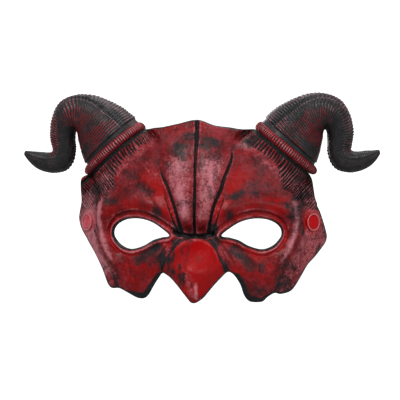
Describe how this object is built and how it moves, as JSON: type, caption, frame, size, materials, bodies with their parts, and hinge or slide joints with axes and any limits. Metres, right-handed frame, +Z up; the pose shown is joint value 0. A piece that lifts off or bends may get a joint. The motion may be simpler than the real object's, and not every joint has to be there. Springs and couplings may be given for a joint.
{
  "type": "horned half mask",
  "caption": "Horned devil half mask: a moulded red and black foam face with a beaked nose, curled ridged horns in collars, snaps and an elastic strap.",
  "frame": {"origin": "on the mask's centre line, level with the middle of the eye holes, at the depth of the foremost part of the forehead", "axes": "+Z up as worn; the face looks along -Y; +X runs across the face, towards the wearer's left; +Y points back into the wearer's head"},
  "size_m": [0.2504, 0.1299, 0.144],
  "materials": {
    "skin": "moulded soft foam, black all through, sprayed deep red on the front",
    "horn": "moulded soft foam, black with red on the ridges",
    "collar": "moulded soft foam, red over black",
    "plug": "plain black foam",
    "snap_cap": "satin moulded cap, red sprayed over it with the face",
    "snap_socket": "black moulded socket",
    "elastic": "black knitted elastic"
  },
  "bodies": {
    "mask": {"face_skin": "skin", "horn_right": "horn", "horn_left": "horn", "horn_collar_right": "collar", "horn_collar_left": "collar", "horn_plug_right": "plug", "horn_plug_left": "plug", "snap_cap_right": "snap_cap", "snap_cap_left": "snap_cap", "snap_socket_right": "snap_socket", "snap_socket_left": "snap_socket", "strap_end_right": "elastic", "strap_end_left": "elastic"},
    "strap": {"strap_band": "elastic"}
  },
  "joints": [
    {"name": "strap_swing", "type": "hinge", "parent": "mask", "child": "strap", "pos_m": [0, 0.03586, 0.0075], "axis": [1, 0, 0], "range_deg": [-78, 17], "deforming": ["strap_end_right", "strap_end_left"]}
  ]
}
